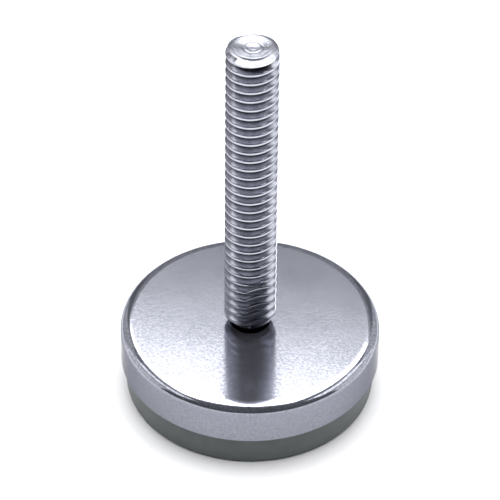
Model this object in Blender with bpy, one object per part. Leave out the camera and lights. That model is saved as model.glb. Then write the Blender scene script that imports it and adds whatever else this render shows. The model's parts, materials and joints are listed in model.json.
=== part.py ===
"""Swivel leveling foot for furniture: a threaded stud that turns and rocks in a plated steel cap.

Metres, +Z up. The origin is the centre of the pad's underside, where the foot stands on the floor.
"""

import math

import bmesh
import bpy
from mathutils import Matrix

MM = 0.001

# Stud: a 1/4 inch, 20 threads per inch unified thread.
STUD_RADIUS = 6.35 / 2 * MM
PITCH = 25.4 / 20 * MM
STUD_ABOVE_CAP = 41.9 * MM
THREAD_DEPTH = 0.61 * PITCH
CREST_WIDTH = PITCH / 8
ROOT_WIDTH = PITCH / 4
CREST_HEIGHT = 0.68 * MM  # of the lowest crest above the cap, at the front of the stud
TOP_CHAMFER = 0.65 * MM
FOOT_CHAMFER = 0.65 * MM
THREAD_GAP = 1.05 * MM  # bare neck that shows between the cap and the thread
NECK_RADIUS = 2.0 * MM

# Wrench flats on the lowest threads.
ACROSS_FLATS = 25.4 * 7 / 32 * MM
FLAT_HEIGHT = 8.2 * MM  # their upper end, above the cap
FLAT_ANGLE = math.radians(-72.4)

# Foot: 1 1/4 inch across and 3/8 inch high.
CAP_RADIUS = 31.75 / 2 * MM
BASE_HEIGHT = 25.4 * 3 / 8 * MM
WALL_HEIGHT = 5.35 * MM
SHEET = 1.0 * MM
CAP_EDGE_RADIUS = 1.2 * MM
PAD_INSET = 0.65 * MM  # how far the pad's side lies inside the cap's
PAD_EDGE_RADIUS = 0.6 * MM

# Fits inside the foot.
GAP = 0.3 * MM  # between pieces that touch
NECK_CLEARANCE = 0.36 * MM
SLIDE_CLEARANCE = 0.3 * MM
WASHER_RADIUS = 6.5 * MM
WASHER_THICKNESS = 1.0 * MM
HEAD_RADIUS = 3.8 * MM
HEAD_SLOPE = 0.25 * MM  # fall of the head's shoulder towards its rim
HEAD_RIM = 0.8 * MM
HEAD_DOME = 0.85 * MM
HEAD_ROOM = 0.6 * MM  # round the head's rim, for the rocking
PLATE_RADIUS = 8.0 * MM
PLATE_THICKNESS = 1.0 * MM

# Heights that follow from the sizes above.
CAP_TOP = BASE_HEIGHT
CAP_UNDERSIDE = CAP_TOP - SHEET
CAP_RIM = CAP_TOP - WALL_HEIGHT
THREAD_FOOT = CAP_TOP + THREAD_GAP
STUD_TOP = CAP_TOP + STUD_ABOVE_CAP
WASHER_TOP = CAP_UNDERSIDE - GAP
WASHER_FOOT = WASHER_TOP - WASHER_THICKNESS
HEAD_SHOULDER = WASHER_FOOT - GAP
HEAD_RIM_TOP = HEAD_SHOULDER - HEAD_SLOPE
HEAD_RIM_FOOT = HEAD_RIM_TOP - HEAD_RIM
HEAD_FOOT = HEAD_RIM_FOOT - HEAD_DOME
PLATE_TOP = HEAD_FOOT - GAP
PLATE_FOOT = PLATE_TOP - PLATE_THICKNESS
PIVOT = (HEAD_RIM_TOP + HEAD_RIM_FOOT) / 2  # centre of the head, which the stud rocks about

HOLE_RADIUS = NECK_RADIUS + NECK_CLEARANCE
CAP_BORE = CAP_RADIUS - SHEET
PLUG_RADIUS = CAP_BORE - GAP

ROUND_SEGMENTS = 72
WASHER_SEGMENTS = 48
THREAD_SEGMENTS = 24
ARC_STEPS = 5
INNER_ARC_STEPS = 2
SHARP_ANGLE = math.radians(35)


def clear_scene():
    for obj in list(bpy.data.objects):
        bpy.data.objects.remove(obj, do_unlink=True)


def material(name, color, roughness, metallic):
    """A Principled material with one colour and finish."""
    made = bpy.data.materials.new(name)
    made.use_nodes = True
    shader = made.node_tree.nodes["Principled BSDF"]
    shader.inputs["Base Color"].default_value = (*color, 1.0)
    shader.inputs["Roughness"].default_value = roughness
    shader.inputs["Metallic"].default_value = metallic
    made.diffuse_color = (*color, 1.0)
    return made


def arc(centre, radius, start, end, steps=ARC_STEPS):
    """Points of a circular arc in the (r, z) plane, from one angle in degrees to another."""
    points = []
    for step in range(steps + 1):
        angle = math.radians(start + (end - start) * step / steps)
        points.append((centre[0] + radius * math.cos(angle), centre[1] + radius * math.sin(angle)))
    return points


def turned(bm, outline, segments, start=0.0):
    """Adds the closed solid made by turning an outline about Z, from a starting angle.

    The outline runs anticlockwise in the (r, z) plane: up the outside and down the inside. A
    point with r = 0 becomes one vertex on the axis.
    """
    rings = []
    for r, z in outline:
        if r == 0:
            rings.append([bm.verts.new((0, 0, z))] * segments)
            continue
        ring = []
        for step in range(segments):
            angle = start + 2 * math.pi * step / segments
            ring.append(bm.verts.new((r * math.cos(angle), r * math.sin(angle), z)))
        rings.append(ring)
    for low, high in zip(rings, rings[1:] + rings[:1]):
        for step in range(segments):
            corners = (low[step], low[step - segments + 1], high[step - segments + 1], high[step])
            distinct = list(dict.fromkeys(corners))
            if len(distinct) > 2:
                bm.faces.new(distinct)


def node(name, bm, look, pivot=0.0):
    """Makes the named object from a bmesh, with its origin at a height on the Z axis."""
    bmesh.ops.transform(bm, matrix=Matrix.Translation((0, 0, -pivot)), verts=bm.verts)
    mesh = bpy.data.meshes.new(name)
    bm.to_mesh(mesh)
    bm.free()
    mesh.materials.append(look)
    mesh.shade_smooth()
    mesh.set_sharp_from_angle(angle=SHARP_ANGLE)
    obj = bpy.data.objects.new(name, mesh)
    obj.location = (0, 0, pivot)
    bpy.context.scene.collection.objects.link(obj)
    return obj


def turned_node(name, outline, look, segments=ROUND_SEGMENTS):
    bm = bmesh.new()
    turned(bm, outline, segments)
    return node(name, bm, look)


def boolean(obj, tool, operation):
    """Joins, cuts or crops an object with a hidden tool, which follows it."""
    tool.parent = obj
    tool.matrix_parent_inverse = Matrix.Translation(-obj.location)
    tool.hide_render = True
    tool.display_type = "WIRE"
    step = obj.modifiers.new(operation.title() + " " + tool.name, "BOOLEAN")
    step.operation = operation
    step.object = tool
    step.solver = "EXACT"


def thread_profile():
    """The thread's section over one pitch, as (radius, height from the crest's middle)."""
    root = STUD_RADIUS - THREAD_DEPTH
    return [
        (STUD_RADIUS, -CREST_WIDTH / 2),
        (STUD_RADIUS, CREST_WIDTH / 2),
        (root, PITCH / 2 - ROOT_WIDTH / 2),
        (root, PITCH / 2 + ROOT_WIDTH / 2),
    ]


def threaded_rod(bottom, top):
    """A right-hand threaded rod between two heights or a little past them, with stepped ends."""
    front_crest = CAP_TOP + CREST_HEIGHT + PITCH / 4
    first_turn = math.floor((bottom - front_crest) / PITCH) - 1
    turns = math.ceil((top - bottom) / PITCH) + 2
    profile = thread_profile()
    bm = bmesh.new()
    columns = []
    for step in range(THREAD_SEGMENTS + 1):
        angle = 2 * math.pi * step / THREAD_SEGMENTS
        rise = front_crest + PITCH * step / THREAD_SEGMENTS
        column = []
        for turn in range(turns):
            for r, z in profile:
                height = rise + (first_turn + turn) * PITCH + z
                column.append(bm.verts.new((r * math.cos(angle), r * math.sin(angle), height)))
        columns.append(column)
    # The last column is the first one, a whole turn on: they share all but one turn of points.
    first, last = columns[0], columns[-1]
    shared = len(first) - len(profile)
    for index in range(shared):
        bm.verts.remove(last[index])
        last[index] = first[index + len(profile)]
    for left, right in zip(columns, columns[1:]):
        for index in range(len(left) - 1):
            bm.faces.new((left[index], right[index], right[index + 1], left[index + 1]))
    low_step = first[1 : len(profile)]
    high_step = last[shared:-1]
    close_end(bm, [column[0] for column in columns] + low_step[::-1], -1)
    close_end(bm, [column[-1] for column in columns] + high_step[::-1], 1)
    return bm


def close_end(bm, loop, facing):
    """Fills a loop round the Z axis with a fan of triangles, facing down (-1) or up (1)."""
    centre = bm.verts.new((0, 0, sum(vert.co.z for vert in loop) / len(loop)))
    for a, b in zip(loop, loop[1:] + loop[:1]):
        bm.faces.new((a, b, centre)[::facing])


def stud_envelope():
    """The outline that the thread is cropped to: chamfers at both ends and a flat top face."""
    outside = STUD_RADIUS + TOP_CHAMFER
    return [
        (0, THREAD_FOOT),
        (STUD_RADIUS - FOOT_CHAMFER, THREAD_FOOT),
        (outside, THREAD_FOOT + FOOT_CHAMFER + TOP_CHAMFER),
        (outside, STUD_TOP - 2 * TOP_CHAMFER),
        (STUD_RADIUS - TOP_CHAMFER, STUD_TOP),
        (0, STUD_TOP),
    ]


def head_outline():
    """The bare neck and its riveted head: a sloping shoulder, a rim and a dome underneath."""
    sphere = (HEAD_RADIUS**2 + HEAD_DOME**2) / (2 * HEAD_DOME)
    half = math.degrees(math.asin(HEAD_RADIUS / sphere))
    dome = arc((0, HEAD_FOOT + sphere), sphere, -90, -90 + half)
    return [
        (0, HEAD_FOOT),
        *dome[1:],
        (HEAD_RADIUS, HEAD_RIM_TOP),
        (NECK_RADIUS, HEAD_SHOULDER),
        (NECK_RADIUS, THREAD_FOOT + PITCH),
        (0, THREAD_FOOT + PITCH),
    ]


def flat_cutter(name, look, side):
    """A block whose inner face leaves one wrench flat, with an end that slopes out of the metal."""
    inner = ACROSS_FLATS / 2
    outer = inner + STUD_RADIUS
    bottom = THREAD_FOOT - PITCH
    top = CAP_TOP + FLAT_HEIGHT
    outline = ((inner, bottom), (outer, bottom), (outer, top + STUD_RADIUS), (inner, top))
    bm = bmesh.new()
    near, far = (
        [bm.verts.new((x, y, z)) for x, z in outline] for y in (-STUD_RADIUS, STUD_RADIUS)
    )
    bm.faces.new(near)
    bm.faces.new(far[::-1])
    for index in range(4):
        bm.faces.new((near[index - 1], far[index - 1], far[index], near[index])[::-1])
    bmesh.ops.recalc_face_normals(bm, faces=bm.faces)
    turn = Matrix.Rotation(FLAT_ANGLE + side * math.pi, 4, "Z")
    bmesh.ops.transform(bm, matrix=turn, verts=bm.verts)
    return node(name, bm, look)


def threaded_stud(look):
    """The stud in one piece: thread, end chamfers, wrench flats, neck and riveted head.

    The crop and the neck start at angles of their own, so none of their edges runs along an edge
    of the thread.
    """
    stud = node("threaded_stud", threaded_rod(THREAD_FOOT, STUD_TOP), look, pivot=PIVOT)
    bm = bmesh.new()
    turned(bm, stud_envelope(), ROUND_SEGMENTS, start=math.pi / ROUND_SEGMENTS)
    boolean(stud, node("stud_crop", bm, look), "INTERSECT")
    bm = bmesh.new()
    turned(bm, head_outline(), THREAD_SEGMENTS, start=2 * math.pi / ROUND_SEGMENTS)
    boolean(stud, node("neck_and_head", bm, look), "UNION")
    for side in range(2):
        boolean(stud, flat_cutter(f"flat_cutter_{side + 1}", look, side), "DIFFERENCE")
    return stud


def cap_shell(look):
    corner = (CAP_RADIUS - CAP_EDGE_RADIUS, CAP_TOP - CAP_EDGE_RADIUS)
    outline = [
        (CAP_RADIUS, CAP_RIM),
        *arc(corner, CAP_EDGE_RADIUS, 0, 90),
        (HOLE_RADIUS, CAP_TOP),
        (HOLE_RADIUS, CAP_UNDERSIDE),
        *arc(corner, CAP_EDGE_RADIUS - SHEET, 90, 0, steps=INNER_ARC_STEPS),
        (CAP_BORE, CAP_RIM),
    ]
    return turned_node("cap_shell", outline, look)


def retaining_washer(look):
    outline = [
        (HOLE_RADIUS, WASHER_FOOT),
        (WASHER_RADIUS, WASHER_FOOT),
        (WASHER_RADIUS, WASHER_TOP),
        (HOLE_RADIUS, WASHER_TOP),
    ]
    return turned_node("retaining_washer", outline, look, WASHER_SEGMENTS)


def core_insert(look):
    foot = HEAD_FOOT
    top = CAP_UNDERSIDE - GAP
    ledge = WASHER_FOOT - GAP
    pocket = HEAD_RADIUS + HEAD_ROOM
    recess = WASHER_RADIUS + SLIDE_CLEARANCE
    outline = [
        (pocket, foot),
        (PLUG_RADIUS, foot),
        (PLUG_RADIUS, top - SLIDE_CLEARANCE),
        (PLUG_RADIUS - SLIDE_CLEARANCE, top),
        (recess, top),
        (recess, ledge),
        (pocket, ledge),
    ]
    return turned_node("core_insert", outline, look)


def thrust_plate(look):
    outline = [
        (0, PLATE_FOOT),
        (PLATE_RADIUS, PLATE_FOOT),
        (PLATE_RADIUS, PLATE_TOP),
        (0, PLATE_TOP),
    ]
    return turned_node("thrust_plate", outline, look, WASHER_SEGMENTS)


def base_pad(look):
    side = CAP_RADIUS - PAD_INSET
    flange = CAP_RIM - GAP
    seat = PLATE_FOOT - GAP
    recess = PLATE_RADIUS + SLIDE_CLEARANCE
    edge = (side - PAD_EDGE_RADIUS, PAD_EDGE_RADIUS)
    outline = [
        (0, 0),
        *arc(edge, PAD_EDGE_RADIUS, -90, 0),
        (side, flange),
        (PLUG_RADIUS, flange),
        (PLUG_RADIUS, PLATE_TOP),
        (recess, PLATE_TOP),
        (recess, seat),
        (0, seat),
    ]
    return turned_node("base_pad", outline, look)


def build():
    clear_scene()
    plated = material("plated_steel", (0.62, 0.62, 0.68), 0.28, 1.0)
    drawn = material("drawn_steel_cap", (0.60, 0.60, 0.66), 0.34, 1.0)
    washer = material("washer_steel", (0.45, 0.45, 0.47), 0.45, 1.0)
    plate = material("plate_steel", (0.38, 0.38, 0.40), 0.5, 1.0)
    nylon = material("core_nylon", (0.72, 0.71, 0.66), 0.5, 0.0)
    pad = material("pad_plastic", (0.13, 0.15, 0.14), 0.5, 0.0)
    threaded_stud(plated)
    cap_shell(drawn)
    retaining_washer(washer)
    core_insert(nylon)
    thrust_plate(plate)
    base_pad(pad)


build()
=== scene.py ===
"""Swivel leveling foot for furniture: the finished look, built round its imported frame.

Metres, +Z up. The stud, the cap and the pad get finer meshes than the CAD solids that they stand
for. The washer, the core and the thrust plate inside the foot keep their CAD shapes.
"""

import json
import math

import bmesh
import bpy
from mathutils import Matrix, Vector


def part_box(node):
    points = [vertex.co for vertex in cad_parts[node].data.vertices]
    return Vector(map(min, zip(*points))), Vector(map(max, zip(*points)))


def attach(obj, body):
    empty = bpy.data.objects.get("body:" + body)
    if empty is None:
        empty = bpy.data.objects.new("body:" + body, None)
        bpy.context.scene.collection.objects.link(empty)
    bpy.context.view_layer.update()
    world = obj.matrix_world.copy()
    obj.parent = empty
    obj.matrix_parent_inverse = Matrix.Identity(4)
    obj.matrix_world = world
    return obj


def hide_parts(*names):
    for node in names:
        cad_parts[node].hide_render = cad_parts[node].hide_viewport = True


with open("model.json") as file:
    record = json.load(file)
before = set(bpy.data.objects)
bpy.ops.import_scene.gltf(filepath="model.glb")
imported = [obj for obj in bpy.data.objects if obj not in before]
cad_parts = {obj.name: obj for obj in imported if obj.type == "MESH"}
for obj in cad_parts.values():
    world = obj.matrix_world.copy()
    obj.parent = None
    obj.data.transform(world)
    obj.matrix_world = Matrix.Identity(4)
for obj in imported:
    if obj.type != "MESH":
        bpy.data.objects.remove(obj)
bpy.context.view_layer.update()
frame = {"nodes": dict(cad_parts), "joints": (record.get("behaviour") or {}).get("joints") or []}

MM = 0.001

# Heights and radii that the frame gives.
stud_low, stud_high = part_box("threaded_stud")
cap_low, cap_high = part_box("cap_shell")
pad_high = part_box("base_pad")[1]
core_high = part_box("core_insert")[1]
plate_low, plate_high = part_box("thrust_plate")
PIVOT = frame["joints"][0]["pos_m"][2]
STUD_TOP = stud_high.z
HEAD_FOOT = stud_low.z
HEAD_RADIUS = stud_high.x
CAP_TOP = cap_high.z
CAP_RIM = cap_low.z
CAP_RADIUS = cap_high.x
PAD_RADIUS = pad_high.x
PLUG_RADIUS = core_high.x

# Stud: a 1/4 inch, 20 threads per inch unified thread.
STUD_RADIUS = 6.35 / 2 * MM
PITCH = 25.4 / 20 * MM
THREAD_DEPTH = 0.61 * PITCH  # nearly what the thread standard gives
ROOT_RADIUS = STUD_RADIUS - THREAD_DEPTH
CREST_WIDTH = PITCH / 8
ROOT_WIDTH = PITCH / 4
BEAD_RADIUS = 0.055 * MM  # the rolled lip along each edge of the crest
BEAD_RISE = 0.03 * MM  # how far the lip stands above the flank
ROOT_ROUND = 0.06 * MM
CREST_HEIGHT = 0.68 * MM  # of a crest above the cap, at the front of the stud
FRONT_TURN = 0.25  # of a turn, from the front of the stud to the +X side
THREAD_GAP = 0.92 * MM  # between the cap and the thread's foot
THREAD_FOOT = CAP_TOP + THREAD_GAP
FOOT_CHAMFER = 0.65 * MM
FOOT_RADIUS = STUD_RADIUS - FOOT_CHAMFER
NECK_RADIUS = 2.0 * MM
ACROSS_FLATS = 25.4 * 7 / 32 * MM
FLAT_TOP = CAP_TOP + 8.2 * MM
FLAT_ANGLE = math.radians(-72.4)

# Turned end of the stud: a flat face, a steep lip round it, and a gently sloping chamfer.
FACE_RADIUS = 2.30 * MM
LIP_FOOT_RADIUS = 2.37 * MM
LIP_DEPTH = 0.20 * MM
CONE_SLOPE = math.tan(math.radians(24))
WHOLE_CONE = 0.36 * MM  # height of the chamfer's upper part, which the thread doesn't cut into
EDGE_ROUND = 0.05 * MM
EDGE_START = 20  # degrees above level where the rounded edge starts
FACE_RIM = 0.3 * MM
DISH_DEPTH = 0.16 * MM
RING_PITCH = 0.2 * MM
RING_DEPTH = 0.01 * MM
TOOL_STEPS = (0.6 * MM, 1.25 * MM)  # radii where the facing tool left a small step
STEP_DEPTH = 0.03 * MM
STEP_WIDTH = 0.06 * MM
STEP_SHARPNESS = 4
PIP_RADIUS = 0.14 * MM
PIP_DEPTH = 0.14 * MM
CONE_BAND = 0.4 * MM  # height of the chamfer that has the turned finish
CONE_SKIN = 0.05 * MM  # how far under the chamfer a face can lie and still be part of it

# Riveted head inside the foot.
HEAD_SLOPE = 0.25 * MM
HEAD_RIM = 0.8 * MM

# Cap and pad.
SHEET = 1.0 * MM
NECK_CLEARANCE = 0.36 * MM
HOLE_RADIUS = NECK_RADIUS + NECK_CLEARANCE
BEND_RADIUS = 1.2 * MM  # of the sheet, whose inside corner is this less the sheet's thickness
CROWN_RADIUS = 2.2 * MM  # the top starts to turn down gently, then bends over a smaller radius
CROWN_TURN = 25  # degrees that the gentle bend turns through
CAP_SIDE_RADIUS = 1.05 * MM
SHEET_ROUND = 0.15 * MM
PAD_EDGE_RADIUS = 0.6 * MM
PAD_GAP = 0.05 * MM  # between the cap's rim and the pad's flange
RECESS_GAP = 0.3 * MM

# Mesh fineness.
STUD_COLUMNS = 144
ROUND_COLUMNS = 240
CORNER_STEPS = 2
LIP_STEPS = 3
RING_STEPS = 5
HEAD_STEPS = 8
CROWN_STEPS = 8
CAP_SIDE_STEPS = 12
PAD_EDGE_STEPS = 10
SHEET_STEPS = 4
CUT_STEPS = 12  # halvings that place the edge of a cut
SPARE_TURNS = 2  # of thread past each end, before the ends are cut
SHARP_ANGLE = math.radians(25)
MERGE = 0.0001 * MM


# Shapes


def arc(centre, radius, start, end, steps):
    """Points of a circular arc in the (r, z) plane, from one angle in degrees to another."""
    points = []
    for step in range(steps + 1):
        angle = math.radians(start + (end - start) * step / steps)
        points.append((centre[0] + radius * math.cos(angle), centre[1] + radius * math.sin(angle)))
    return points


def even_angles(count):
    return [2 * math.pi * step / count for step in range(count)]


class Surface:
    """Collects rows of points that stand round the Z axis, and makes one closed mesh of them."""

    def __init__(self):
        self.vertices = []
        self.faces = []

    def add(self, angles, columns, closed=False, seam_shift=0):
        """Joins columns of (r, z) points, one for each angle.

        A closed outline joins its last point to its first. With a seam shift, the last column
        joins points that many places further along the first, as a helix does.
        """
        rows = len(columns[0])
        base = len(self.vertices)
        for angle, column in zip(angles, columns):
            for r, z in column:
                self.vertices.append((r * math.cos(angle), r * math.sin(angle), z))
        for left in range(len(columns)):
            right = (left + 1) % len(columns)
            shift = seam_shift if right == 0 else 0
            for row in range(rows - (0 if closed else 1) - shift):
                above = (row + 1) % rows
                near, far = base + left * rows, base + right * rows
                corners = (near + row, far + row + shift, far + above + shift, near + above)
                self.faces.append(corners)

    def turn(self, outline, angles, closed=False):
        self.add(angles, [outline] * len(angles), closed)

    def build(self, name, materials, slot_of=None):
        """Makes the object. slot_of gives a face's material slot from its centre's (r, z)."""
        mesh = bpy.data.meshes.new(name)
        mesh.from_pydata(self.vertices, [], self.faces)
        bm = bmesh.new()
        bm.from_mesh(mesh)
        bmesh.ops.remove_doubles(bm, verts=bm.verts, dist=MERGE)
        bmesh.ops.recalc_face_normals(bm, faces=bm.faces)
        if slot_of:
            for face in bm.faces:
                centre = face.calc_center_median()
                face.material_index = slot_of(centre.xy.length, centre.z)
        bm.to_mesh(mesh)
        bm.free()
        for material in materials:
            mesh.materials.append(material)
        mesh.shade_smooth()
        mesh.set_sharp_from_angle(angle=SHARP_ANGLE)
        piece = bpy.data.objects.new(name, mesh)
        bpy.context.scene.collection.objects.link(piece)
        weighted = piece.modifiers.new("Weighted normals", "WEIGHTED_NORMAL")
        weighted.keep_sharp = True
        return piece


# Stud

FLANK_SLOPE = (PITCH - ROOT_WIDTH - CREST_WIDTH) / 2 / THREAD_DEPTH  # height gained per depth
FLANK_TURN = math.atan2(1, FLANK_SLOPE)  # from the crest's direction to the flank's
CONE_TOP = STUD_TOP - LIP_DEPTH
RUNOUT = CONE_TOP - WHOLE_CONE


def stud_angles():
    """Evenly spaced angles, of which four are moved onto the edges of the wrench flats."""
    angles = even_angles(STUD_COLUMNS)
    half_width = math.acos(ACROSS_FLATS / 2 / STUD_RADIUS)
    for side in (0, math.pi):
        for edge in (-half_width, half_width):
            angle = (FLAT_ANGLE + side + edge) % (2 * math.pi)
            angles[round(angle / (2 * math.pi) * STUD_COLUMNS)] = angle
    return angles


def flat_radius(angle, z):
    """How far the nearer wrench flat lets the metal reach. Its cut slopes out above FLAT_TOP."""
    from_normal = (angle - FLAT_ANGLE + math.pi / 2) % math.pi - math.pi / 2
    reach = ACROSS_FLATS / 2 + max(0.0, z - FLAT_TOP)
    return min(reach / max(math.cos(from_normal), MERGE), CAP_RADIUS)


def half_thread(crest_radius):
    """The upper half of one thread, from crest to root, as (radius, height).

    A small round lip, which rolling leaves, stands along the crest's edge. The root is rounded.
    """
    tangent = math.tan(FLANK_TURN / 2)
    crest_edge = CREST_WIDTH / 2 + (STUD_RADIUS - crest_radius) * FLANK_SLOPE
    root_edge = (PITCH - ROOT_WIDTH) / 2
    lip_top = crest_edge + BEAD_RADIUS * FLANK_SLOPE + BEAD_RISE
    lip = arc((crest_radius - BEAD_RADIUS, lip_top - BEAD_RADIUS), BEAD_RADIUS, 0, 90, LIP_STEPS)
    lip_foot = crest_radius - (lip_top - crest_edge) / FLANK_SLOPE
    turns = [FLANK_TURN * step / CORNER_STEPS for step in range(CORNER_STEPS + 1)]
    root = [
        (
            ROOT_RADIUS + ROOT_ROUND * (1 - math.cos(turn)),
            root_edge + ROOT_ROUND * (tangent - math.sin(turn)),
        )
        for turn in reversed(turns)
    ]
    return lip + [(lip_foot, lip_top)] + root


def cone_radius(z):
    """The chamfer's radius at a height below the lip of the end face."""
    return LIP_FOOT_RADIUS + (CONE_TOP - z) / CONE_SLOPE


def outer_limit(angle, z):
    """The largest radius that the flats and the two end chamfers leave."""
    return min(flat_radius(angle, z), FOOT_RADIUS + z - THREAD_FOOT, cone_radius(z))


def inner_limit(z):
    """The smallest radius, which grows to a full circle at both ends of the thread."""
    at_top = min(cone_radius(z), cone_radius(RUNOUT) + z - RUNOUT)
    return max(FOOT_RADIUS - (z - THREAD_FOOT), at_top)


def cut_point(angle, kept, lost):
    """The point between a kept and a lost point where the limiting surface is met."""
    low, high = 0.0, 1.0
    for _ in range(CUT_STEPS):
        middle = (low + high) / 2
        r = kept[0] + (lost[0] - kept[0]) * middle
        z = min(max(kept[1] + (lost[1] - kept[1]) * middle, THREAD_FOOT), CONE_TOP)
        if r > outer_limit(angle, z):
            high = middle
        else:
            low = middle
    return (min(r, outer_limit(angle, z)), z)


def thread_column(angle, turns):
    """The thread's section at one angle, cut by the flats and the chamfers at both ends."""
    points = []
    for turn in turns:
        crest = CAP_TOP + CREST_HEIGHT + PITCH * (turn + angle / (2 * math.pi) + FRONT_TURN)
        below_slope = crest + PITCH / 4 < FLAT_TOP
        flat = flat_radius(angle, crest) if below_slope else STUD_RADIUS
        half = half_thread(min(STUD_RADIUS, flat))
        points += [(r, crest - z) for r, z in reversed(half)]
        points += [(r, crest + z) for r, z in half]
    lost = [r > outer_limit(angle, z) + MERGE for r, z in points]
    column = []
    for index, (r, z) in enumerate(points):
        z = min(max(z, THREAD_FOOT), CONE_TOP)
        r = max(min(r, outer_limit(angle, z)), inner_limit(z))
        column.append((r, z))
    for index in range(1, len(points) - 1):
        before, after = lost[index - 1], lost[index + 1]
        inside = THREAD_FOOT < points[index][1] < CONE_TOP
        if inside and lost[index] and before != after:
            kept = points[index + 1] if before else points[index - 1]
            column[index] = cut_point(angle, kept, points[index])
    return column


def face_outline():
    """The stud's end: a rounded edge, a rim, and a shallow dish with rings from the facing tool."""
    centre = (FACE_RADIUS - EDGE_ROUND, STUD_TOP - EDGE_ROUND)
    edge = arc(centre, EDGE_ROUND, EDGE_START, 90, CORNER_STEPS)
    outline = [(LIP_FOOT_RADIUS, CONE_TOP), *edge]
    dish = FACE_RADIUS - FACE_RIM
    rings = round(dish / RING_PITCH) * RING_STEPS
    for step in range(rings + 1):
        r = dish * (1 - step / rings)
        depth = DISH_DEPTH * (1 - r / dish)
        depth += RING_DEPTH * (1 - math.cos(2 * math.pi * step / RING_STEPS)) / 2
        for radius in TOOL_STEPS:
            depth += STEP_DEPTH / (1 + math.exp((r - radius) / STEP_WIDTH * STEP_SHARPNESS))
        depth += PIP_DEPTH * max(0.0, 1 - (r / PIP_RADIUS) ** 2)
        outline.append((r, STUD_TOP - depth))
    return outline


def head_outline():
    """From the thread's foot down the neck, over the riveted head, to its middle."""
    rim_top = PIVOT + HEAD_RIM / 2
    rim_foot = PIVOT - HEAD_RIM / 2
    dome = rim_foot - HEAD_FOOT
    sphere = (HEAD_RADIUS**2 + dome**2) / (2 * dome)
    half = math.degrees(math.asin(HEAD_RADIUS / sphere))
    return [
        (FOOT_RADIUS, THREAD_FOOT),
        (NECK_RADIUS, THREAD_FOOT),
        (NECK_RADIUS, rim_top + HEAD_SLOPE),
        (HEAD_RADIUS, rim_top),
        *arc((0, HEAD_FOOT + sphere), sphere, -90 + half, -90, HEAD_STEPS),
    ]


def make_stud(thread, turned):
    """The threaded stud, with its turned end and chamfer in a material of their own."""
    angles = stud_angles()
    first = math.floor((THREAD_FOOT - CAP_TOP - CREST_HEIGHT) / PITCH) - SPARE_TURNS
    last = math.ceil((STUD_TOP - CAP_TOP) / PITCH) + SPARE_TURNS
    turns = range(first, last)
    seam = 2 * len(half_thread(STUD_RADIUS))
    surface = Surface()
    surface.add(angles, [thread_column(angle, turns) for angle in angles], seam_shift=seam)
    surface.turn(face_outline(), angles)
    surface.turn(head_outline(), angles)

    dish_floor = CONE_TOP - DISH_DEPTH * 2  # below the deepest point of the dish

    def slot_of(r, z):
        in_dish = r < LIP_FOOT_RADIUS and z > dish_floor
        on_cone = z > CONE_TOP - CONE_BAND and r > cone_radius(z) - CONE_SKIN
        return 1 if z > CONE_TOP or in_dish or on_cone else 0

    return surface.build("stud", [thread, turned], slot_of)


# Cap and pad


def make_cap(steel):
    """The drawn cup: a round top edge, a straight wall, and slightly rounded edges of the sheet."""
    corner = (CAP_RADIUS - BEND_RADIUS, CAP_TOP - BEND_RADIUS)
    turn = math.radians(CROWN_TURN)
    sharper = (CAP_RADIUS - CAP_SIDE_RADIUS, 0.0)
    shoulder = sharper[0] + CAP_SIDE_RADIUS * math.sin(turn)
    crown = (shoulder - CROWN_RADIUS * math.sin(turn), CAP_TOP - CROWN_RADIUS)
    sharper = (sharper[0], crown[1] + (CROWN_RADIUS - CAP_SIDE_RADIUS) * math.cos(turn))
    hole = HOLE_RADIUS + SHEET_ROUND
    bore = CAP_RADIUS - SHEET
    underside = CAP_TOP - SHEET
    rim = CAP_RIM + SHEET_ROUND
    outline = [
        *arc((CAP_RADIUS - SHEET_ROUND, rim), SHEET_ROUND, -90, 0, SHEET_STEPS),
        *arc(sharper, CAP_SIDE_RADIUS, 0, 90 - CROWN_TURN, CAP_SIDE_STEPS),
        *arc(crown, CROWN_RADIUS, 90 - CROWN_TURN, 90, CROWN_STEPS),
        *arc((hole, CAP_TOP - SHEET_ROUND), SHEET_ROUND, 90, 180, SHEET_STEPS),
        *arc((hole, underside + SHEET_ROUND), SHEET_ROUND, 180, 270, SHEET_STEPS),
        *arc(corner, BEND_RADIUS - SHEET, 90, 0, SHEET_STEPS),
        *arc((bore + SHEET_ROUND, rim), SHEET_ROUND, 180, 270, SHEET_STEPS),
    ]
    surface = Surface()
    surface.turn(outline, even_angles(ROUND_COLUMNS), closed=True)
    return surface.build("cap", [steel])


def make_pad(plastic):
    """The moulded pad: a flange with a round lower edge, and a plug up inside the cap."""
    flange = CAP_RIM - PAD_GAP
    recess = plate_high.x + RECESS_GAP
    seat = plate_low.z - RECESS_GAP
    lower = (PAD_RADIUS - PAD_EDGE_RADIUS, PAD_EDGE_RADIUS)
    upper = (PAD_RADIUS - SHEET_ROUND, flange - SHEET_ROUND)
    outline = [
        (0, 0),
        *arc(lower, PAD_EDGE_RADIUS, -90, 0, PAD_EDGE_STEPS),
        *arc(upper, SHEET_ROUND, 0, 90, SHEET_STEPS),
        (PLUG_RADIUS, flange),
        (PLUG_RADIUS, pad_high.z),
        (recess, pad_high.z),
        (recess, seat),
        (0, seat),
    ]
    surface = Surface()
    surface.turn(outline, even_angles(ROUND_COLUMNS))
    return surface.build("pad", [plastic])


# Materials

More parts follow.
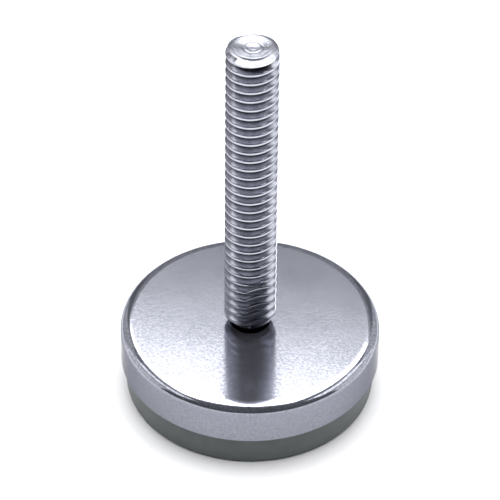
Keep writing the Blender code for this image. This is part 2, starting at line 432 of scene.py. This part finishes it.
NOISE_LOW = 0.3  # most of a noise's values lie between these two
NOISE_HIGH = 0.7
# Painted shade: the thread's colour darkens from the crest colour to this one down in the roots.
THREAD_ROOT_SHADE = (0.11, 0.115, 0.135)
THREAD_CREST_COLOUR = (0.50, 0.51, 0.57)
THREAD_EDGE_TINT = (0.30, 0.30, 0.33, 1.0)
THREAD_RAGGED = 0.12 * MM  # how far the edge of the painted root shade wanders
TURNED_LIGHT = (0.54, 0.55, 0.61)
TURNED_DARK = (0.43, 0.44, 0.50)
TURNED_EDGE_TINT = (0.40, 0.40, 0.43, 1.0)
METAL_ROUGHNESS = (0.16, 0.24)
CAP_TOP_LIGHT = (0.525, 0.535, 0.60)
CAP_TOP_DARK = (0.325, 0.335, 0.387)
# Painted shade: darker copies of the cap's steel colours, used on its wall.
CAP_WALL_SHADE_LIGHT = (0.26, 0.27, 0.307)
CAP_WALL_SHADE_DARK = (0.205, 0.212, 0.244)
CAP_SPECK = (0.16, 0.165, 0.20)
CAP_SPECK_NOISE = (0.74, 0.79)  # noise above this is a dark speck
CAP_SPECK_STRENGTH = 0.6
CAP_SPECKLE_NOISE = (0.40, 0.60)
CAP_TOP_START = 0.4  # of the bend's radius below the top, where the painted wall shade gives way to the top's colours
CAP_EDGE_TINT = (0.50, 0.50, 0.52, 1.0)
CAP_METALLIC = 0.95
CAP_ROUGHNESS = (0.11, 0.16)
CAP_CLOUD_SHARE = 0.25  # of the tone, the rest of which is speckle
PAD_DARK = (0.059, 0.071, 0.068)
PAD_LIGHT = (0.076, 0.088, 0.084)
PAD_ROUGHNESS = (0.38, 0.48)
PRESSED_ROUGHNESS = (0.38, 0.55)
WASHER_COLOURS = ((0.47, 0.47, 0.49), (0.38, 0.38, 0.40))
PLATE_COLOURS = ((0.40, 0.40, 0.42), (0.31, 0.31, 0.33))
NYLON_COLOURS = ((0.68, 0.66, 0.60), (0.76, 0.75, 0.70))
NYLON_ROUGHNESS = (0.42, 0.54)


class Nodes:
    """A Principled material, and short ways to add the nodes that drive it."""

    def __init__(self, name):
        self.material = bpy.data.materials.new(name)
        self.material.use_nodes = True
        self.tree = self.material.node_tree
        self.shader = self.tree.nodes["Principled BSDF"]
        self.coords = self.tree.nodes.new("ShaderNodeTexCoord").outputs["Object"]

    def link(self, source, target):
        self.tree.links.new(source, target)

    def set(self, **values):
        """Sets constants on the shader's own sockets."""
        for name, value in values.items():
            self.shader.inputs[name.replace("_", " ")].default_value = value

    def drive(self, name, source):
        """Links a source to one of the shader's own sockets."""
        self.link(source, self.shader.inputs[name])

    def noise(self, size, detail=3.0, stretch=(1, 1, 1), roughness=0.5):
        """Noise with grains of a size in metres, longer along an axis by its stretch."""
        mapping = self.tree.nodes.new("ShaderNodeMapping")
        mapping.inputs["Scale"].default_value = [1 / size / factor for factor in stretch]
        self.link(self.coords, mapping.inputs["Vector"])
        noise = self.tree.nodes.new("ShaderNodeTexNoise")
        noise.inputs["Scale"].default_value = 1.0
        noise.inputs["Detail"].default_value = detail
        noise.inputs["Roughness"].default_value = roughness
        self.link(mapping.outputs["Vector"], noise.inputs["Vector"])
        return noise.outputs["Fac"]

    def radius(self):
        """The distance from the Z axis."""
        flat = self.tree.nodes.new("ShaderNodeVectorMath")
        flat.operation = "MULTIPLY"
        flat.inputs[1].default_value = (1.0, 1.0, 0.0)
        self.link(self.coords, flat.inputs[0])
        length = self.tree.nodes.new("ShaderNodeVectorMath")
        length.operation = "LENGTH"
        self.link(flat.outputs["Vector"], length.inputs[0])
        return length.outputs["Value"]

    def height(self):
        """The distance up the Z axis."""
        parts = self.tree.nodes.new("ShaderNodeSeparateXYZ")
        self.link(self.coords, parts.inputs["Vector"])
        return parts.outputs["Z"]

    def rings(self, size, detail=1.0):
        """Noise that changes only across the turning marks: with the radius and the height."""
        path = self.math("SUBTRACT", self.radius(), self.height())
        noise = self.tree.nodes.new("ShaderNodeTexNoise")
        noise.noise_dimensions = "1D"
        noise.inputs["Scale"].default_value = 1 / size
        noise.inputs["Detail"].default_value = detail
        self.link(path, noise.inputs["W"])
        return noise.outputs["Fac"]

    def spread(self, source, low, high, start=NOISE_LOW, end=NOISE_HIGH):
        """Maps a value from start..end to low..high, held at both."""
        node = self.tree.nodes.new("ShaderNodeMapRange")
        node.inputs["From Min"].default_value = start
        node.inputs["From Max"].default_value = end
        node.inputs["To Min"].default_value = low
        node.inputs["To Max"].default_value = high
        self.link(source, node.inputs["Value"])
        return node.outputs["Result"]

    def math(self, operation, first, second):
        node = self.tree.nodes.new("ShaderNodeMath")
        node.operation = operation
        for socket, value in zip(node.inputs, (first, second)):
            if isinstance(value, (int, float)):
                socket.default_value = value
            else:
                self.link(value, socket)
        return node.outputs["Value"]

    def mix(self, factor, first, second):
        """A colour between two, each given as RGB or as a socket."""
        node = self.tree.nodes.new("ShaderNodeMix")
        node.data_type = "RGBA"
        self.link(factor, node.inputs["Factor"])
        for key, value in (("A", first), ("B", second)):
            socket = next(s for s in node.inputs if s.name == key and s.type == "RGBA")
            if isinstance(value, tuple):
                socket.default_value = (*value, 1.0)
            else:
                self.link(value, socket)
        return next(s for s in node.outputs if s.type == "RGBA")

    def bump(self, height, distance, after=None):
        """Relief from a height of 0 to 1, as tall as the distance in metres."""
        node = self.tree.nodes.new("ShaderNodeBump")
        node.inputs["Distance"].default_value = distance
        self.link(height, node.inputs["Height"])
        if after:
            self.link(after, node.inputs["Normal"])
        return node.outputs["Normal"]


def plated_thread():
    """Rolled and plated thread, with painted shade that darkens its colour from the crests down
    into the roots.
    """
    nodes = Nodes("plated_thread")
    nodes.set(Metallic=1.0, Specular_Tint=THREAD_EDGE_TINT)
    patches = nodes.noise(size=1.3 * MM, detail=4)
    grain = nodes.noise(size=0.1 * MM, detail=2)
    wander = nodes.spread(patches, -THREAD_RAGGED, THREAD_RAGGED)
    ragged = nodes.math("ADD", nodes.radius(), wander)
    # Painted shade: this mask darkens the colour towards the thread's roots.
    depth = nodes.spread(ragged, 0, 1, ROOT_RADIUS, STUD_RADIUS)
    nodes.drive("Base Color", nodes.mix(depth, THREAD_ROOT_SHADE, THREAD_CREST_COLOUR))
    nodes.drive("Roughness", nodes.spread(grain, *METAL_ROUGHNESS))
    nodes.drive("Normal", nodes.bump(grain, distance=0.003 * MM))
    return nodes.material


def turned_steel():
    """The faced end and its chamfer: fine turning marks that spread the light across them."""
    nodes = Nodes("turned_steel")
    nodes.set(Metallic=1.0, Specular_Tint=TURNED_EDGE_TINT)
    patches = nodes.noise(size=0.7 * MM, detail=4)
    grain = nodes.noise(size=0.09 * MM, detail=2)
    marks = nodes.rings(size=0.06 * MM)
    tone = nodes.spread(patches, 0, 1, start=0.35)
    nodes.drive("Base Color", nodes.mix(tone, TURNED_LIGHT, TURNED_DARK))
    nodes.drive("Roughness", nodes.spread(grain, *METAL_ROUGHNESS))
    relief = nodes.bump(grain, distance=0.0015 * MM)
    nodes.drive("Normal", nodes.bump(marks, distance=0.028 * MM, after=relief))
    return nodes.material


def satin_cap():
    """Drawn and plated sheet: satin and finely speckled, with faint rings. The wall's colour is
    darkened as painted shade.
    """
    nodes = Nodes("satin_cap")
    nodes.set(Metallic=CAP_METALLIC, Specular_Tint=CAP_EDGE_TINT)
    clouds = nodes.noise(size=7 * MM, detail=3)
    speckle = nodes.noise(size=0.30 * MM, detail=3, roughness=0.6)
    dents = nodes.noise(size=0.6 * MM, detail=2)
    rings = nodes.noise(size=0.25 * MM, detail=3, stretch=(60, 60, 1))
    cloud_tone = nodes.spread(clouds, 0.0, CAP_CLOUD_SHARE)
    speckle_tone = nodes.spread(speckle, 0.0, 1 - CAP_CLOUD_SHARE, *CAP_SPECKLE_NOISE)
    tone = nodes.math("ADD", cloud_tone, speckle_tone)
    top = nodes.mix(tone, CAP_TOP_LIGHT, CAP_TOP_DARK)
    spots = nodes.noise(size=0.5 * MM, detail=1)
    specks = nodes.spread(spots, 0.0, CAP_SPECK_STRENGTH, *CAP_SPECK_NOISE)
    wall_top = CAP_TOP - CAP_SIDE_RADIUS
    top_start = CAP_TOP - CAP_TOP_START * CAP_SIDE_RADIUS
    # Painted shade on the wall, fading out towards the top.
    side = nodes.spread(nodes.height(), 1.0, 0.0, wall_top, top_start)
    body = nodes.mix(side, top, nodes.mix(tone, CAP_WALL_SHADE_LIGHT, CAP_WALL_SHADE_DARK))
    nodes.drive("Base Color", nodes.mix(specks, body, CAP_SPECK))
    nodes.drive("Roughness", nodes.spread(speckle, *CAP_ROUGHNESS))
    relief = nodes.bump(dents, distance=0.0002 * MM)
    relief = nodes.bump(speckle, distance=0.002 * MM, after=relief)
    nodes.drive("Normal", nodes.bump(rings, distance=0.0015 * MM, after=relief))
    return nodes.material


def pad_plastic():
    """Grey-green moulded plastic, smooth and slightly cloudy."""
    nodes = Nodes("pad_plastic")
    clouds = nodes.noise(size=1.6 * MM, detail=3)
    grain = nodes.noise(size=0.15 * MM, detail=2)
    nodes.drive("Base Color", nodes.mix(nodes.spread(clouds, 0, 1), PAD_DARK, PAD_LIGHT))
    nodes.drive("Roughness", nodes.spread(clouds, *PAD_ROUGHNESS))
    nodes.drive("Normal", nodes.bump(grain, distance=0.008 * MM))
    return nodes.material


def pressed_steel(name, light, dark):
    """Plain pressed steel for the washer and the plate inside the foot."""
    nodes = Nodes(name)
    nodes.set(Metallic=1.0)
    clouds = nodes.noise(size=1.8 * MM, detail=4)
    grain = nodes.noise(size=0.2 * MM, detail=2)
    nodes.drive("Base Color", nodes.mix(nodes.spread(clouds, 0, 1), light, dark))
    nodes.drive("Roughness", nodes.spread(clouds, *PRESSED_ROUGHNESS))
    nodes.drive("Normal", nodes.bump(grain, distance=0.006 * MM))
    return nodes.material


def moulded_nylon():
    """Natural nylon, with the soft clouding of a thick moulding."""
    nodes = Nodes("moulded_nylon")
    clouds = nodes.noise(size=2.5 * MM, detail=3)
    grain = nodes.noise(size=0.2 * MM, detail=2)
    nodes.drive("Base Color", nodes.mix(nodes.spread(clouds, 0, 1), *NYLON_COLOURS))
    nodes.drive("Roughness", nodes.spread(clouds, *NYLON_ROUGHNESS))
    nodes.drive("Normal", nodes.bump(grain, distance=0.008 * MM))
    return nodes.material


def give_material(node, material):
    mesh = frame["nodes"][node].data
    mesh.materials.clear()
    mesh.materials.append(material)


# Studio

FLOOR_SIZE = 3.0
FLOOR_COLOUR = (0.63, 0.63, 0.64)
FLOOR_ROUGHNESS = 0.9
WORLD_COLOUR = (0.08, 0.083, 0.10)
POWER_PER_AREA = 4.0  # watts per square metre that give a rectangular light a radiance of 1
PANELS = (
    # name, place, aim, roll in degrees, width and height, radiance, seen in reflections
    ("sky", (0.0, 0.452, 1.022), (0.0, 0.17, 0.0), -9.0, (0.9, 0.990), 3.8, True),
    ("right", (0.416, 0.03, 0.46), (0.0, 0.0, 0.03), 0.0, (0.52, 0.20), 1.5, True),
    ("left", (-0.412, 0.0, 0.45), (0.0, 0.0, 0.03), 0.0, (0.54, 0.18), 1.25, True),
    ("right_side", (0.995, 0.105, 0.32), (0.0, 0.0, 0.32), 0.0, (0.89, 0.64), 0.74, True),
    ("left_side", (-0.995, 0.105, 0.32), (0.0, 0.0, 0.32), 0.0, (0.89, 0.64), 0.70, True),
    ("right_low", (0.731, 0.682, 0.47), (0.0, 0.0, 0.47), 0.0, (0.62, 0.94), 0.40, True),
    ("left_low", (-0.731, 0.682, 0.47), (0.0, 0.0, 0.47), 0.0, (0.62, 0.94), 0.34, True),
    ("back", (0.0, 1.1, 0.45), (0.0, 0.0, 0.45), 0.0, (0.7, 0.9), 0.13, True),
    ("fill", (0.0, 0.0, 0.60), (0.0, 0.0, 0.0), 0.0, (0.8, 0.8), 3.0, False),
)
CAMERA_TARGET = Vector((-0.1 * MM, 0, CAP_TOP + 11.3 * MM))  # the centre of the picture
CAMERA_DISTANCE = 396.9 * MM
CAMERA_ELEVATION = math.radians(40.64)
CAMERA_ROLL = math.radians(0.59)
CAMERA_LENS = 237.8  # millimetres
CLIP_START = 0.01


def make_floor():
    bm = bmesh.new()
    bmesh.ops.create_grid(bm, x_segments=1, y_segments=1, size=FLOOR_SIZE / 2)
    mesh = bpy.data.meshes.new("floor")
    bm.to_mesh(mesh)
    bm.free()
    floor = bpy.data.objects.new("floor", mesh)
    bpy.context.scene.collection.objects.link(floor)
    nodes = Nodes("floor_paper")
    nodes.set(Base_Color=(*FLOOR_COLOUR, 1.0), Roughness=FLOOR_ROUGHNESS)
    mesh.materials.append(nodes.material)


def add_panel(name, place, size, power, aim, in_reflections, roll):
    """A soft rectangular light, aimed at a point, that the camera doesn't see itself."""
    data = bpy.data.lights.new(name, "AREA")
    data.shape = "RECTANGLE"
    data.size, data.size_y = size
    data.energy = power
    light = bpy.data.objects.new(name, data)
    facing = (aim - Vector(place)).to_track_quat("-Z", "Y").to_matrix().to_4x4()
    turn = Matrix.Rotation(math.radians(roll), 4, "Z")
    light.matrix_world = Matrix.Translation(place) @ facing @ turn
    light.visible_camera = False
    light.visible_glossy = in_reflections
    bpy.context.scene.collection.objects.link(light)


def light_studio():
    """A bright card behind and above, dimmer ones at the sides and back, and a soft fill.

    Nothing but the dim surroundings is on the side where the camera stands.
    """
    world = bpy.data.worlds.new("studio")
    world.use_nodes = True
    world.node_tree.nodes["Background"].inputs["Color"].default_value = (*WORLD_COLOUR, 1.0)
    bpy.context.scene.world = world
    for name, place, aim, roll, size, radiance, in_reflections in PANELS:
        power = radiance * size[0] * size[1] * POWER_PER_AREA
        add_panel(name, place, size, power, Vector(aim), in_reflections, roll)


def add_camera():
    data = bpy.data.cameras.new("camera")
    data.lens = CAMERA_LENS
    data.clip_start = CLIP_START
    camera = bpy.data.objects.new("camera", data)
    back = Vector((0, -math.cos(CAMERA_ELEVATION), math.sin(CAMERA_ELEVATION)))
    place = Matrix.Translation(CAMERA_TARGET + back * CAMERA_DISTANCE)
    tilt = Matrix.Rotation(math.pi / 2 - CAMERA_ELEVATION, 4, "X")
    camera.matrix_world = place @ tilt @ Matrix.Rotation(CAMERA_ROLL, 4, "Z")
    bpy.context.scene.collection.objects.link(camera)
    bpy.context.scene.camera = camera


# Assembly

stud = make_stud(plated_thread(), turned_steel())
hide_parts("threaded_stud")
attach(stud, "stud")

cap = make_cap(satin_cap())
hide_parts("cap_shell")
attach(cap, "base")

pad = make_pad(pad_plastic())
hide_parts("base_pad")
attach(pad, "base")

give_material("retaining_washer", pressed_steel("washer_steel", *WASHER_COLOURS))
give_material("thrust_plate", pressed_steel("plate_steel", *PLATE_COLOURS))
give_material("core_insert", moulded_nylon())

make_floor()
light_studio()
add_camera()
bpy.context.scene.view_settings.view_transform = "Standard"
